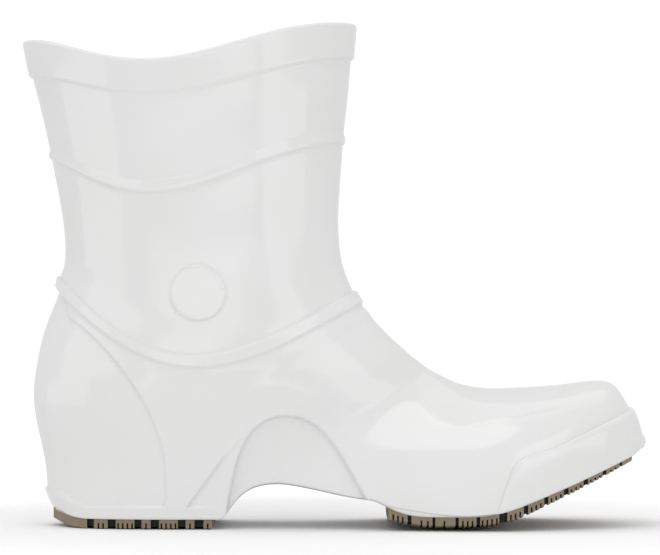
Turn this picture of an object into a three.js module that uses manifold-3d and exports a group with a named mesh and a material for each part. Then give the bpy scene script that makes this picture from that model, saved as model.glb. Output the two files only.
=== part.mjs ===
// A short slip-resistant work boot for the right foot, moulded in white PVC.
// The upper is one hollow moulding: shaft, foot, rim band, ribs, heel panel and arch recess are its wall.
// A white sole unit closes it underneath: heel core, platform, heel lip, ball strip and toe bumper.
// Two-colour rubber treads sit in pockets of the sole: brown lugs, and a black web between them.
// Millimetres. +X points to the toe, +Y to the inner side of the foot, +Z up.
// The origin is the middle of the heel's tread, on the floor.
import * as THREE from 'three';
import { mergeVertices } from 'three/addons/utils/BufferGeometryUtils.js';
import Module from 'manifold-3d';

const wasm = await Module();
wasm.setup();

// Overall sizes of the boot
const LENGTH = 291;            // back of the heel to the toe tip
const SHAFT_HEIGHT = 237.4;    // floor to the front of the collar
const ANKLE_HEIGHT = 112;      // floor to the ankle bead at the instep
const COLLAR_LENGTH = 159;     // front to back over the rim band
const COLLAR_WIDTH = 115;      // side to side over the rim band
const ANKLE_LENGTH = 130;      // front to back at the narrowest place
const ANKLE_WIDTH = 86;
const BALL_WIDTH = 102;

// Walls and raised or sunk details
const SHAFT_WALL = 2.4;
const FOOT_WALL = 3.2;
const BAND_HEIGHT = 15.5;      // rim band at the collar
const BAND_THICKNESS = 1.5;
const RIB_WIDTH = 4.6;         // thin rib round the middle of the shaft
const RIB_THICKNESS = 1.0;
const BEAD_WIDTH = 7;          // bead round the ankle
const BEAD_THICKNESS = 1.8;
const EDGE_LENGTH = 0.8;         // length of the slope at the edge of a band, rib or bead
const PANEL_DEPTH = 1.2;       // sunk heel panel, and the facet in front of it
const ARCH_DEPTH = 2.6;        // arch recess
const ARCH_OVERLAP = 3;        // how far the recessed wall runs on behind the edge of the recess
const BADGE_RADIUS = 12.8;     // plain raised disc on the outer side
const BADGE_THICKNESS = 0.7;

// Sole, treads and insole
const TREAD_DEPTH = 5.2;       // floor to the white underside
const POCKET_DEPTH = 2;        // how deep the treads sit in the sole
const TREAD_INSET = 1.8;
const WEB_INSET = 1;           // the black web stands back from the ends of the lugs
const WEB_RECESS = 1.1;        // and stops short of their faces
const HEEL_BEVEL = 4;
const LIP_HEIGHT = 4.7;        // white lip under the heel panel, at the sides
const LIP_KICK = 8;            // how much higher it rises at the back
const ARCH_RISE = 16;
const TOE_SPRING = 28;
const STRIP_INSET = 1;
const BUMPER_THICKNESS = 1.6;
const SEAT_HEIGHT = 36;        // floor to the platform under the heel
const PLATFORM_THICKNESS = 9.2; // under the ball, above the treads
const INSOLE_THICKNESS = 3;
const GAP = 0.3;               // between pieces that meet
const CUT_REACH = 90;          // cutting forms reach this far past the boot

// Rows of lugs from the back of each tread: their lengths, with a channel after every row
const HEEL_LUGS = [17.5, 6.3, 9.2, 4.5, 9.4, 4.5, 3.9];
const BALL_LUGS = [7.4, 9.6, 8.4, 7.6, 8.6, 8, 7.2, 7.2, 7.2, 6.8, 5];
const CHANNEL = 3.4;
const LUG_COLUMN = 23.4;       // across the sole

const QUARTER_POINTS = 7;      // points in a quarter of a section
const CURVE_STEPS = 6;

// Sections of the shaft, from the collar down to the ankle bead. up is a percentage of the shaft above the
// ankle, out and wide are percentages of the flare from ankle to collar, sag is how far the sides hang below
// the front and back (percentage of the shaft), low is where they hang most and sharp how suddenly.
const SHAFT_COLUMNS = ['frontUp', 'frontOut', 'backUp', 'backOut', 'sag', 'low', 'sharp', 'wide',
  'widest', 'roundTop', 'roundBottom'];
const SHAFT_ROWS = [
  [100, 28, 93.5, 72, 10.8, 0.40, 2.2, 100, 0.48, 2.15, 2.15],
  [87.7, 23, 80.9, 63, 10.0, 0.42, 1.8, 89, 0.48, 2.15, 2.15],
  [74.2, 18, 67.0, 49, 11.2, 0.40, 1.9, 69, 0.48, 2.15, 2.15],
  [59.0, 10, 52.6, 31, 15.2, 0.37, 1.9, 50, 0.48, 2.15, 2.15],
  [40.7, 3.5, 38.3, 13, 15.2, 0.38, 1.6, 25, 0.48, 2.15, 2.15],
  [26.3, 0, 26.3, 3, 17.5, 0.40, 1.4, 8, 0.47, 2.15, 2.2],
  [14.0, 3.5, 15.2, -1.5, 21.5, 0.43, 1.25, 0, 0.47, 2.15, 2.2],
  [6.4, 12, 8.4, 1.5, 24.3, 0.45, 1.15, -3, 0.46, 2.15, 2.25],
  [-0.4, 26, 5.1, 6.5, 26.5, 0.46, 1.1, -5, 0.46, 2.15, 2.3],
];
const RIB_ROW = 3;
const BEAD_ROW = 8;

// Sections of the foot, from the bead round the heel to the toe. Each runs from a point on top of the foot to
// one at its back or bottom. X is a percentage of LENGTH, Z and sag of ANKLE_HEIGHT, and outer, inner and swing
// of BALL_WIDTH. The bottom ends lie below the floor, because the underside is cut across the form.
const FOOT_COLUMNS = ['topX', 'topZ', 'botX', 'botZ', 'sag', 'outer', 'inner', 'swing',
  'widest', 'roundTop', 'roundBottom'];
const FOOT_ROWS = [
  [34.7, 93.9, -14.6, 100.7, 29.5, 41.4, 41.4, 0, 0.46, 2.2, 2.3],
  [35.9, 90.5, -15.8, 92.5, 27.7, 41.2, 41.2, 0, 0.46, 2.2, 2.3],
  [36.9, 86.9, -17.4, 81.3, 25.9, 40.8, 40.8, 0, 0.455, 2.2, 2.35],
  [38.0, 83.8, -18.4, 69.6, 23.7, 40.4, 40.4, 0, 0.45, 2.2, 2.4],
  [39.0, 81.1, -19.0, 58.0, 21.4, 39.9, 39.9, 0, 0.445, 2.2, 2.4],
  [40.0, 78.6, -18.7, 46.4, 18.8, 39.2, 39.2, 0, 0.44, 2.2, 2.4],
  [41.1, 76.1, -17.8, 35.3, 16.1, 38.4, 38.4, 0, 0.43, 2.2, 2.4],
  [42.1, 73.7, -17.0, 24.1, 13.4, 37.5, 37.5, 0, 0.42, 2.2, 2.4],
  [43.1, 71.4, -16.7, 12.1, 10.7, 36.5, 36.5, 0, 0.41, 2.2, 2.45],
  [44.2, 69.3, -16.3, 0, 8.0, 35.6, 35.6, 0, 0.40, 2.2, 2.5],
  [45.2, 67.3, -15.5, -11.6, 5.8, 34.9, 34.9, 0, 0.39, 2.2, 2.6],
  [46.2, 65.6, -11.0, -19.6, 3.6, 34.5, 34.5, 0, 0.37, 2.2, 2.7],
  [47.3, 64.1, -2.7, -21.4, 2.2, 34.5, 34.5, 0, 0.36, 2.2, 2.8],
  [48.5, 62.5, 6.2, -19.6, 0.9, 35.1, 35.1, 0, 0.345, 2.2, 2.8],
  [49.8, 60.9, 15.1, -16.5, 0, 37.3, 36.1, 0, 0.33, 2.2, 2.8],
  [51.4, 59.5, 23.4, -14.3, 0, 41.2, 39.2, 0.5, 0.33, 2.2, 2.8],
  [53.3, 58.5, 31.3, -13.8, 0, 45.1, 42.6, 1.0, 0.33, 2.25, 2.8],
  [55.5, 57.9, 38.5, -13.8, 0, 48.0, 46.1, 1.5, 0.33, 2.3, 2.8],
  [58.1, 57.9, 45.0, -13.4, 0, 49.7, 49.0, 2.0, 0.33, 2.35, 2.8],
  [61.0, 58.1, 50.9, -12.1, 0, 49.7, 50.2, 2.5, 0.33, 2.4, 2.8],
  [64.1, 58.6, 56.4, -9.4, 0, 47.7, 49.6, 3.0, 0.34, 2.5, 2.8],
  [67.2, 59.2, 61.3, -5.4, 0, 44.1, 47.3, 3.2, 0.35, 2.6, 2.8],
  [70.1, 60.3, 65.6, -0.4, 0, 39.7, 43.7, 3.4, 0.36, 2.7, 2.8],
  [72.7, 61.0, 69.4, 3.6, 0, 34.8, 39.8, 3.4, 0.37, 2.7, 2.7],
  [74.7, 60.9, 72.5, 7.1, 0, 30.6, 36.3, 3.4, 0.38, 2.7, 2.6],
  [76.3, 58.8, 74.9, 10.7, 0, 26.0, 32.0, 3.4, 0.40, 2.6, 2.5],
  [77.6, 54.3, 76.8, 13.8, 0, 21.8, 28.1, 3.4, 0.42, 2.5, 2.4],
  [78.7, 49.3, 78.1, 17.0, 0, 17.3, 23.7, 3.4, 0.45, 2.3, 2.3],
  [79.6, 43.8, 79.2, 20.5, 0, 12.4, 18.8, 3.4, 0.47, 2.2, 2.2],
  [80.3, 37.5, 80.0, 25.0, 0, 6.6, 13.0, 3.4, 0.50, 2.0, 2.0],
];
const TIP_X = 80.8;
const TIP_Z = 31.3;
const WALL_CHANGE = [6, 12];   // the wall thickens from the shaft's to the foot's between these rows

const named = (columns, rows) => rows.map((row) => Object.fromEntries(columns.map((c, i) => [c, row[i]])));
const alongLength = (percent) => (percent / 100) * LENGTH;
const upFoot = (percent) => (percent / 100) * ANKLE_HEIGHT;
const acrossBall = (percent) => (percent / 100) * BALL_WIDTH;

// A shaft row in millimetres: flares and heights become places
function shaftSection(row) {
  const rise = (SHAFT_HEIGHT - ANKLE_HEIGHT) / 100;
  const lengthFlare = (COLLAR_LENGTH - 2 * BAND_THICKNESS - ANKLE_LENGTH) / 100;
  const widthFlare = (COLLAR_WIDTH - 2 * BAND_THICKNESS - ANKLE_WIDTH) / 200;
  const middle = alongLength(8.75);
  const half = ANKLE_WIDTH / 2 + row.wide * widthFlare;
  return {
    ...row,
    topX: middle + ANKLE_LENGTH / 2 + row.frontOut * lengthFlare,
    topZ: ANKLE_HEIGHT + row.frontUp * rise,
    botX: middle - ANKLE_LENGTH / 2 - row.backOut * lengthFlare,
    botZ: ANKLE_HEIGHT + row.backUp * rise,
    sag: row.sag * rise,
    outer: half,
    inner: half,
    swing: 0,
  };
}

function footSection(row) {
  return {
    ...row,
    topX: alongLength(row.topX),
    topZ: upFoot(row.topZ),
    botX: alongLength(row.botX),
    botZ: upFoot(row.botZ),
    sag: upFoot(row.sag),
    low: row.widest,
    sharp: 1.1,
    outer: acrossBall(row.outer),
    inner: acrossBall(row.inner),
    swing: acrossBall(row.swing),
  };
}

const sections = [
  ...named(SHAFT_COLUMNS, SHAFT_ROWS).map(shaftSection),
  ...named(FOOT_COLUMNS, FOOT_ROWS).map(footSection),
];
const SECTION_KEYS = ['topX', 'topZ', 'botX', 'botZ', 'sag', 'low', 'sharp', 'outer', 'inner', 'swing',
  'widest', 'roundTop', 'roundBottom'];

// The section at a station between the rows of the tables, by a Catmull-Rom curve through each column
function sectionAt(station) {
  const last = sections.length - 1;
  const i = Math.min(Math.max(Math.floor(station), 0), last - 1);
  const t = station - i;
  const [a, b, c, d] = [i - 1, i, i + 1, i + 2].map((n) => sections[Math.min(Math.max(n, 0), last)]);
  const blend = (key) => {
    const [p, q, r, s] = [a[key], b[key], c[key], d[key]];
    return q + 0.5 * t * (r - p + t * (2 * p - 5 * q + 4 * r - s + t * (3 * (q - r) + s - p)));
  };
  return Object.fromEntries(SECTION_KEYS.map((key) => [key, blend(key)]));
}

// The station that lies a distance below another, measured down the front of the boot
function stationBelow(station, distance) {
  const step = 0.01;
  let reached = station;
  let travelled = 0;
  let from = sectionAt(station);
  while (travelled < distance && reached < sections.length - 1) {
    reached += step;
    const to = sectionAt(reached);
    travelled += Math.hypot(to.topX - from.topX, to.topZ - from.topZ);
    from = to;
  }
  return reached;
}

// Bands that stand out of the wall all the way round: the stations where they start and end, and their height
const bands = [
  { start: -1, end: stationBelow(0, BAND_HEIGHT), step: BAND_THICKNESS },
  { start: RIB_ROW, end: stationBelow(RIB_ROW, RIB_WIDTH), step: RIB_THICKNESS },
  { start: BEAD_ROW, end: stationBelow(BEAD_ROW, BEAD_WIDTH), step: BEAD_THICKNESS },
];

// Stations of the rings that make the solids: the tables' rows and, for each band, both ends of its slopes
function ringStations() {
  const edges = [];
  const covered = [];
  for (const band of bands) {
    const reliefAt = (s) => ({ station: s, relief: band.step });
    if (band.start >= 0) {
      edges.push({ station: band.start, relief: 0 }, reliefAt(stationBelow(band.start, EDGE_LENGTH)));
    }
    edges.push(reliefAt(band.end), { station: stationBelow(band.end, EDGE_LENGTH), relief: 0 });
    covered.push([band.start, stationBelow(band.end, EDGE_LENGTH) + 0.15]);
  }
  const rows = sections
    .map((_, station) => ({ station, relief: station === 0 ? BAND_THICKNESS : 0 }))
    .filter(({ station }) => station === 0 || !covered.some(([a, b]) => station >= a && station <= b));
  return [...rows, ...edges].sort((a, b) => a.station - b.station);
}
const rings = ringStations();

// One quarter of a rounded section, from its end (length, 0) to its side (0, width), in even steps
function quarter(length, width, roundness) {
  const fine = 60;
  const dense = Array.from({ length: fine + 1 }, (_, i) => {
    const angle = (Math.PI / 2) * (i / fine);
    return [length * Math.cos(angle) ** (2 / roundness), width * Math.sin(angle) ** (2 / roundness)];
  });
  const travel = [0];
  for (let i = 1; i <= fine; i += 1) {
    travel.push(travel[i - 1] + Math.hypot(dense[i][0] - dense[i - 1][0], dense[i][1] - dense[i - 1][1]));
  }
  const points = [];
  for (let k = 0; k <= QUARTER_POINTS; k += 1) {
    const goal = (travel[fine] * k) / QUARTER_POINTS;
    let i = 1;
    while (i < fine && travel[i] < goal) i += 1;
    const t = (goal - travel[i - 1]) / (travel[i] - travel[i - 1]);
    points.push([0, 1].map((axis) => dense[i - 1][axis] + t * (dense[i][axis] - dense[i - 1][axis])));
  }
  return points;
}

// The closed loop of a section in space, from the top round the outer side to the bottom and back
function loopOf(section) {
  const { topX, topZ, botX, botZ, swing } = section;
  const chord = Math.hypot(topX - botX, topZ - botZ);
  const [ux, uz] = [(topX - botX) / chord, (topZ - botZ) / chord];
  const topLength = chord * (1 - section.widest);
  const botLength = chord * section.widest;
  const power = Math.log(0.5) / Math.log(section.low);
  const place = (along, across) => {
    const share = Math.min(Math.max((botLength + along) / chord, 0), 1);
    const hang = section.sag * Math.abs(Math.sin(Math.PI * share ** power)) ** section.sharp;
    return new THREE.Vector3(
      botX + ux * share * chord + uz * hang,
      swing + across,
      botZ + uz * share * chord - ux * hang,
    );
  };
  const side = (half, sign) => {
    const top = quarter(topLength, half, section.roundTop).map(([a, y]) => place(a, sign * y));
    const bottom = quarter(botLength, half, section.roundBottom).map(([a, y]) => place(-a, sign * y));
    return [...top, ...bottom.reverse().slice(1)];
  };
  const outer = side(section.outer + swing, -1);
  const inner = side(section.inner - swing, 1);
  return [...outer, ...inner.reverse().slice(1, -1)];
}

const grid = rings.map(({ station }) => loopOf(sectionAt(station)));
const tip = new THREE.Vector3(alongLength(TIP_X), acrossBall(3.4), upFoot(TIP_Z));

// Unit normals of the plain form, pointing out of the boot
const normals = grid.map((loop, i) => loop.map((_, j) => {
  const n = loop.length;
  const before = grid[Math.max(i - 1, 0)][j];
  const after = i + 1 < grid.length ? grid[i + 1][j] : tip;
  const along = after.clone().sub(before);
  const round = loop[(j + 1) % n].clone().sub(loop[(j - 1 + n) % n]);
  return round.cross(along).normalize();
}));

const wallAt = (station) => {
  const share = THREE.MathUtils.smoothstep(station, ...WALL_CHANGE);
  return THREE.MathUtils.lerp(SHAFT_WALL, FOOT_WALL, share);
};

function solidOf(geometry) {
  const bare = geometry.clone();
  bare.deleteAttribute('normal');
  bare.deleteAttribute('uv');
  const merged = mergeVertices(bare, 1e-4);
  return new wasm.Manifold(new wasm.Mesh({
    numProp: 3,
    vertProperties: new Float32Array(merged.attributes.position.array),
    triVerts: new Uint32Array(merged.index.array),
  }));
}

// The boot's form as a closed solid, its surface moved out by offset(ring). An open one runs on above the collar.
function skin(offset, open = false) {
  const loops = grid.map((loop, i) => loop.map((p, j) => (
    p.clone().addScaledVector(normals[i][j], offset(rings[i])))));
  if (open) loops.unshift(loops[0].map((p) => p.clone().setZ(p.z + CUT_REACH)));
  const n = loops[0].length;
  const middle = loops[0].reduce((sum, p) => sum.add(p), new THREE.Vector3()).divideScalar(n);
  const end = tip.clone();
  end.x += offset(rings[rings.length - 1]);
  const points = [...loops.flat(), middle, end];
  const [top, toe] = [points.length - 2, points.length - 1];
  const faces = [];
  for (let j = 0; j < n; j += 1) {
    const k = (j + 1) % n;
    faces.push(top, k, j);
    for (let i = 0; i + 1 < loops.length; i += 1) {
      const [a, b, c, d] = [i * n + j, i * n + k, (i + 1) * n + k, (i + 1) * n + j];
      const splitAC = points[a].distanceTo(points[c]) < points[b].distanceTo(points[d]);
      faces.push(...(splitAC ? [a, b, c, a, c, d] : [a, b, d, b, c, d]));
    }
    faces.push((loops.length - 1) * n + j, (loops.length - 1) * n + k, toe);
  }
  const geometry = new THREE.BufferGeometry().setFromPoints(points).setIndex(faces);
  return solidOf(geometry);
}

const box = ([x0, x1], [y0, y1], [z0, z1]) => solidOf(
  new THREE.BoxGeometry(x1 - x0, y1 - y0, z1 - z0)
    .translate((x0 + x1) / 2, (y0 + y1) / 2, (z0 + z1) / 2),
);

// Lines in the side view, as points [x, z]
function line(draw) {
  const path = new THREE.Path();
  draw(path);
  return path.getPoints(CURVE_STEPS).map((p) => [p.x, p.y]);
}
const raised = (points, up) => points.map(([x, z]) => [x, z + up]);

// A line moved sideways, to its left when the distance is positive
function moved(points, distance) {
  return points.map(([x, z], i) => {
    const [x0, z0] = points[Math.max(i - 1, 0)];
    const [x1, z1] = points[Math.min(i + 1, points.length - 1)];
    const length = Math.hypot(x1 - x0, z1 - z0);
    return [x - ((z1 - z0) / length) * distance, z + ((x1 - x0) / length) * distance];
  });
}

// A prism across the boot with this outline in the side view
function prism(outline, fromY = -CUT_REACH, toY = CUT_REACH) {
  const shape = new THREE.Shape(outline.map(([x, z]) => new THREE.Vector2(x, z)));
  const geometry = new THREE.ExtrudeGeometry(shape, { depth: toY - fromY, bevelEnabled: false });
  geometry.rotateX(Math.PI / 2).translate(0, toY, 0);
  return solidOf(geometry);
}
const between = (lower, upper) => prism([...lower, ...[...upper].reverse()]);
const below = (points) => prism([...points, [points.at(-1)[0], -CUT_REACH], [points[0][0], -CUT_REACH]]);
const top = SHAFT_HEIGHT + CUT_REACH;
const above = (points) => prism([...points, [points.at(-1)[0], top], [points[0][0], top]]);

// The white underside: heel bevel, heel, arch, ball and toe spring
const underside = line((path) => {
  const x = alongLength;
  const heel = TREAD_DEPTH;
  path.moveTo(x(-25), heel + 2 * HEEL_BEVEL);
  path.lineTo(x(-15.9), heel + HEEL_BEVEL);
  path.quadraticCurveTo(x(-12.2), heel + 0.1 * HEEL_BEVEL, x(-9.6), heel);
  path.lineTo(x(12.4), heel);
  path.bezierCurveTo(x(14.2), heel + 0.3 * ARCH_RISE, x(15), heel + ARCH_RISE, x(21.3), heel + ARCH_RISE);
  path.bezierCurveTo(x(25), heel + 0.98 * ARCH_RISE, x(31), heel + 0.66 * ARCH_RISE,
    x(36.4), heel + 0.5 * ARCH_RISE);
  path.bezierCurveTo(x(38.6), heel + 0.42 * ARCH_RISE, x(39.5), heel, x(46), heel);
  path.lineTo(x(52), heel);
  path.bezierCurveTo(x(57), heel, x(60), heel + 0.17 * TOE_SPRING, x(63.8), heel + 0.33 * TOE_SPRING);
  path.lineTo(x(78.8), heel + TOE_SPRING);
  path.lineTo(x(81), heel + 1.15 * TOE_SPRING);
  path.lineTo(x(86), heel + 1.6 * TOE_SPRING);
});

// The faces of the lugs: flat on the floor at heel and ball, bevelled at the back and rising to the toe
const ground = line((path) => {
  const x = alongLength;
  path.moveTo(x(-25), 2.5 * HEEL_BEVEL);
  path.lineTo(x(-16.2), 1.25 * HEEL_BEVEL);
  path.quadraticCurveTo(x(-12.6), 0.1 * HEEL_BEVEL, x(-9.6), 0);
  path.lineTo(x(20), 0);
  path.lineTo(x(30), 0.4 * ARCH_RISE);
  path.lineTo(x(37), 0.4 * ARCH_RISE);
  path.quadraticCurveTo(x(39.5), 0, x(43), 0);
  path.lineTo(x(52.5), 0);
  path.bezierCurveTo(x(57.5), 0, x(60), 0.18 * TOE_SPRING, x(63.8), 0.355 * TOE_SPRING);
  path.lineTo(x(78.8), 1.11 * TOE_SPRING);
  path.lineTo(x(86), 1.55 * TOE_SPRING);
});

// Where the upper ends and the sole begins: above the heel lip, along the ball strip, round the bumper
const parting = line((path) => {
  const x = alongLength;
  const heel = TREAD_DEPTH;
  const lip = heel + LIP_HEIGHT;
  path.moveTo(x(-25), lip + LIP_KICK);
  path.lineTo(x(-16.6), lip + LIP_KICK);
  path.quadraticCurveTo(x(-12.7), lip + 0.33 * LIP_KICK, x(-9.6), lip);
  path.lineTo(x(13.8), lip);
  path.lineTo(x(36.4), heel + 0.48 * ARCH_RISE);
  path.bezierCurveTo(x(40.5), heel + 0.4 * ARCH_RISE, x(46), heel + 1.8 * STRIP_INSET,
    x(52), heel + 1.4 * STRIP_INSET);
  path.lineTo(x(56.2), heel + 0.12 * TOE_SPRING);
  path.lineTo(x(58.4), heel + 0.76 * TOE_SPRING);
  path.quadraticCurveTo(x(58.9), heel + 0.98 * TOE_SPRING, x(61.2), heel + 1.06 * TOE_SPRING);
  path.lineTo(x(65), heel + 1.18 * TOE_SPRING);
  path.lineTo(x(79), heel + 1.82 * TOE_SPRING);
  path.lineTo(x(86), heel + 2.15 * TOE_SPRING);
});

// The platform under the foot: heel seat, slope, ball and toe
const platform = line((path) => {
  const x = alongLength;
  const ball = TREAD_DEPTH + PLATFORM_THICKNESS;
  path.moveTo(x(-25), SEAT_HEIGHT);
  path.lineTo(x(3), SEAT_HEIGHT);
  path.bezierCurveTo(x(19), SEAT_HEIGHT, x(33), ball + 0.1 * ARCH_RISE, x(48), ball);
  path.bezierCurveTo(x(54), ball, x(58.5), ball + 0.1 * TOE_SPRING, x(63.8), ball + 0.33 * TOE_SPRING);
  path.lineTo(x(86), ball + 1.32 * TOE_SPRING);
});

// The arch recess in the side view, and the sunk panels behind and in front of the heel's side
const archEdge = line((path) => {
  path.moveTo(alongLength(12.8), -TREAD_DEPTH);
  path.lineTo(alongLength(13.4), upFoot(9.4));
  path.bezierCurveTo(alongLength(14.6), upFoot(27), alongLength(15.8), upFoot(47),
    alongLength(22.7), upFoot(47));
  path.bezierCurveTo(alongLength(28.9), upFoot(47), alongLength(31.6), upFoot(30.4),
    alongLength(35.6), upFoot(11.6));
  path.lineTo(alongLength(37), -TREAD_DEPTH);
});
const heelPanel = line((path) => {
  path.moveTo(alongLength(-30), upFoot(104));
  path.lineTo(alongLength(-14.4), upFoot(101));
  path.lineTo(alongLength(-13.2), upFoot(97));
  path.lineTo(alongLength(-12.5), upFoot(88.5));
  path.bezierCurveTo(alongLength(-6.5), upFoot(79), alongLength(3.5), upFoot(50),
    alongLength(3.5), upFoot(22));
  path.lineTo(alongLength(3.5), upFoot(12));
  path.quadraticCurveTo(alongLength(3.5), upFoot(9.5), alongLength(2.5), upFoot(9.5));
  path.lineTo(alongLength(2.5), 0);
  path.lineTo(alongLength(-30), 0);
});
const heelFacet = line((path) => {
  path.moveTo(alongLength(6.9), upFoot(9.5));
  path.lineTo(alongLength(16.1), upFoot(41.5));
  path.lineTo(alongLength(14), upFoot(26));
  path.lineTo(alongLength(11.6), upFoot(9.5));
});

// Closed forms that the pieces are cut from
const plain = skin(() => 0);
const inside = skin(({ station }) => -wallAt(station), true);
const insideClear = skin(({ station }) => -wallAt(station) - GAP, true);
const behindArch = prism(moved(archEdge, ARCH_OVERLAP));
const behindArchClear = prism(moved(archEdge, ARCH_OVERLAP + GAP));
const recessInside = skin(({ station }) => -wallAt(station) - ARCH_DEPTH, true);
const recessInsideClear = skin(({ station }) => -wallAt(station) - ARCH_DEPTH - GAP, true);

function upperSolid() {
  const shell = skin(({ relief }) => relief).subtract(inside);
  const outside = skin(() => FOOT_WALL).subtract(skin(() => -PANEL_DEPTH));
  const panels = prism(heelPanel).add(prism(heelFacet)).intersect(outside);
  const arch = skin(() => -ARCH_DEPTH).subtract(recessInside).intersect(behindArch);
  const badgeDisc = new THREE.CylinderGeometry(BADGE_RADIUS, BADGE_RADIUS, CUT_REACH, 24);
  badgeDisc.translate(alongLength(8.7), -CUT_REACH / 2, upFoot(98.5));
  const badge = skin(() => BADGE_THICKNESS).subtract(skin(() => -SHAFT_WALL / 2)).intersect(solidOf(badgeDisc));
  return shell.subtract(prism(archEdge)).subtract(panels).add(arch).add(badge)
    .intersect(above(parting)).intersect(above(underside));
}

function soleSolid() {
  const under = moved(parting, -GAP);
  const whole = between(underside, platform);
  const core = insideClear.intersect(whole)
    .subtract(behindArchClear.subtract(recessInsideClear));
  const slice = (from, to) => box(
    [alongLength(from), alongLength(to)],
    [-CUT_REACH, CUT_REACH],
    [-CUT_REACH, CUT_REACH],
  );
  const edge = below(under).intersect(above(underside));
  const heelLip = plain.intersect(edge).intersect(slice(-30, 14));
  const strip = skin(() => -STRIP_INSET).intersect(edge).intersect(slice(36, 58)).intersect(whole);
  const bumperForm = skin(() => BUMPER_THICKNESS).intersect(edge).intersect(slice(56.2, 90));
  const bumper = bumperForm.subtract(inside).add(bumperForm.intersect(whole));
  return { core, heelLip, strip, bumper };
}

const parts = soleSolid();
const upper = upperSolid();
const sole = parts.core.add(parts.heelLip).add(parts.strip).add(parts.bumper);

// The height and slope of a side line at a place along the boot
function lineAt(points, x) {
  const i = Math.max(1, points.findIndex(([px]) => px > x));
  const [[x0, z0], [x1, z1]] = [points[i - 1], points[i]];
  const slope = (z1 - z0) / (x1 - x0);
  return { z: z0 + slope * (x - x0), tilt: Math.atan(slope) };
}

// Rows of lugs forward from a place on the sole, staggered from row to row, as blocks through the underside
function lugBlocks(fromX, lengths, grow) {
  const lugs = [];
  let x = fromX;
  lengths.forEach((length, row) => {
    const { z, tilt } = lineAt(underside, x + length / 2);
    const middle = x + (length / 2) * Math.cos(tilt);
    const width = LUG_COLUMN - CHANNEL + 2 * grow;
    for (let column = -2; column <= 2; column += 1) {
      const y = (column + ((row + 1) % 2) / 2) * LUG_COLUMN;
      const geometry = new THREE.BoxGeometry(length + 2 * grow, width, 4 * TREAD_DEPTH)
        .rotateY(-tilt)
        .translate(middle, y, z);
      lugs.push(solidOf(geometry));
    }
    x += (length + CHANNEL) * Math.cos(tilt);
  });
  return lugs;
}

const largest = (solid) => solid.decompose().sort((a, b) => b.volume() - a.volume())[0];

// One tread: a brown sheet in its pocket with lugs under it, and the black web between the lugs
function tread(fromX, toX, lengths) {
  const across = [-CUT_REACH, CUT_REACH];
  const form = skin(() => -TREAD_INSET).intersect(box([fromX, toX], across, across));
  const webForm = skin(() => -TREAD_INSET - WEB_INSET)
    .intersect(box([fromX + WEB_INSET, toX - WEB_INSET], across, across));
  const pocket = skin(() => -TREAD_INSET + GAP)
    .intersect(box([fromX - GAP, toX + GAP], across, across))
    .intersect(between(raised(underside, -POCKET_DEPTH), raised(underside, POCKET_DEPTH)));
  const sheet = form.intersect(between(raised(underside, -GAP), raised(underside, POCKET_DEPTH - GAP)));
  const lugSlab = form.intersect(between(ground, raised(underside, POCKET_DEPTH / 4)));
  let lugged = sheet;
  for (const lug of lugBlocks(fromX, lengths, 0)) {
    const piece = lug.intersect(lugSlab);
    if (piece.volume() > CHANNEL ** 3) lugged = lugged.add(piece);
  }
  let web = webForm.intersect(between(raised(ground, WEB_RECESS), raised(underside, -2 * GAP)));
  for (const lug of lugBlocks(fromX, lengths, GAP)) web = web.subtract(lug);
  return { pocket, lugged: largest(lugged), web: largest(web) };
}

const heelTread = tread(alongLength(-15.5), alongLength(10.75), HEEL_LUGS);
const ballTread = tread(alongLength(38.9), alongLength(78.1), BALL_LUGS);

const insole = skin(({ station }) => -wallAt(station) - 2 * GAP, true)
  .subtract(behindArchClear.subtract(skin(({ station }) => -wallAt(station) - ARCH_DEPTH - 2 * GAP, true)))
  .intersect(between(raised(platform, GAP), raised(platform, GAP + INSOLE_THICKNESS)));

// Colours as the eye sees them
const whitePvc = () => new THREE.MeshStandardMaterial({ color: 0xe9e9e9, roughness: 0.18, metalness: 0 });
const brownRubber = () => new THREE.MeshStandardMaterial({ color: 0x877a66, roughness: 0.75, metalness: 0 });
const blackRubber = () => new THREE.MeshStandardMaterial({ color: 0x1b1814, roughness: 0.8, metalness: 0 });
const greyFelt = () => new THREE.MeshStandardMaterial({ color: 0xc9c9c6, roughness: 0.95, metalness: 0 });

function meshOf(name, solid, material) {
  const made = solid.getMesh();
  const positions = new Float32Array(made.numVert * 3);
  for (let i = 0; i < made.numVert; i += 1) {
    positions.set(made.vertProperties.subarray(i * made.numProp, i * made.numProp + 3), i * 3);
  }
  const geometry = new THREE.BufferGeometry();
  geometry.setAttribute('position', new THREE.BufferAttribute(positions, 3));
  geometry.setIndex(new THREE.BufferAttribute(made.triVerts, 1));
  geometry.computeVertexNormals();
  const mesh = new THREE.Mesh(geometry, material);
  mesh.name = name;
  return mesh;
}

const boot = new THREE.Group();
boot.add(
  meshOf('upper', upper.subtract(heelTread.pocket).subtract(ballTread.pocket), whitePvc()),
  meshOf('sole', sole.subtract(heelTread.pocket).subtract(ballTread.pocket), whitePvc()),
  meshOf('insole', insole, greyFelt()),
  meshOf('heel_tread', heelTread.lugged, brownRubber()),
  meshOf('heel_tread_web', heelTread.web, blackRubber()),
  meshOf('forefoot_tread', ballTread.lugged, brownRubber()),
  meshOf('forefoot_tread_web', ballTread.web, blackRubber()),
);

export default boot;
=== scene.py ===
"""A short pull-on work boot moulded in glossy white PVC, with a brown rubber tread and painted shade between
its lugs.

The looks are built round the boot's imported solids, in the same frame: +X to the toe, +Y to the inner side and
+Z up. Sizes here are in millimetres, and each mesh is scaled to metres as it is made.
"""

import math

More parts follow.
